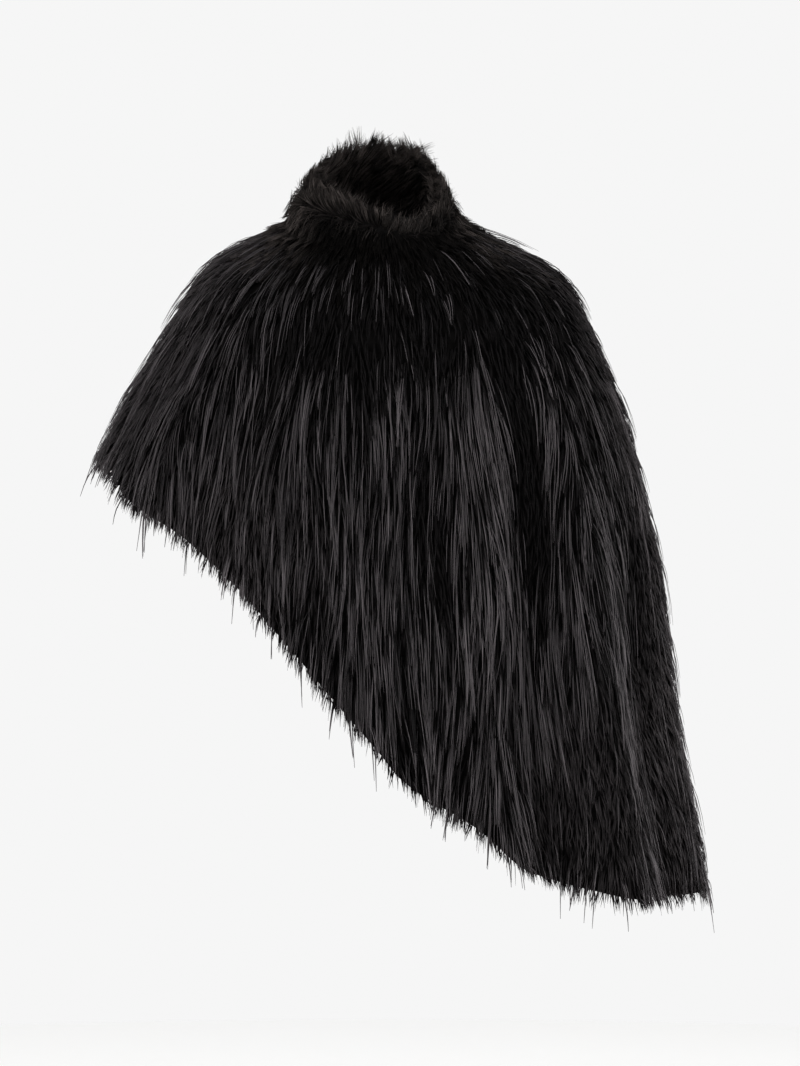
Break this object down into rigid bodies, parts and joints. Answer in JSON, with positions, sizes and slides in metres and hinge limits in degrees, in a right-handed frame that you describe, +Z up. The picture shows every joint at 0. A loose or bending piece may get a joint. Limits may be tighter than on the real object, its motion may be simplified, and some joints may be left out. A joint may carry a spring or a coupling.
{
  "type": "cape",
  "caption": "Asymmetric pull-on cape of long-pile black fur cloth, with a funnel collar and a hem that slants from elbow length on one side to thigh length on the other",
  "frame": {"origin": "the middle of the wearer's neck base, level with the foot of the collar at the sides", "axes": "+Z up, +X towards the long side, +Y towards the wearer's back, so the front faces -Y"},
  "size_m": [0.7355, 0.3898, 0.9482],
  "materials": {
    "body_fur": "long-pile black fur cloth, glossy guard hair over dense underfur",
    "collar_fur": "the same fur cloth with its pile brushed up and outwards",
    "guard_hair": "glossy black guard hair gathered in pointed locks"
  },
  "bodies": {
    "root": {"front": "body_fur", "back": "body_fur", "collar_front": "collar_fur", "collar_back": "collar_fur", "facing_front": "collar_fur", "facing_back": "collar_fur", "hem_locks_front": "guard_hair", "hem_locks_back": "guard_hair", "rim_locks_front": "guard_hair", "rim_locks_back": "guard_hair"}
  },
  "joints": []
}
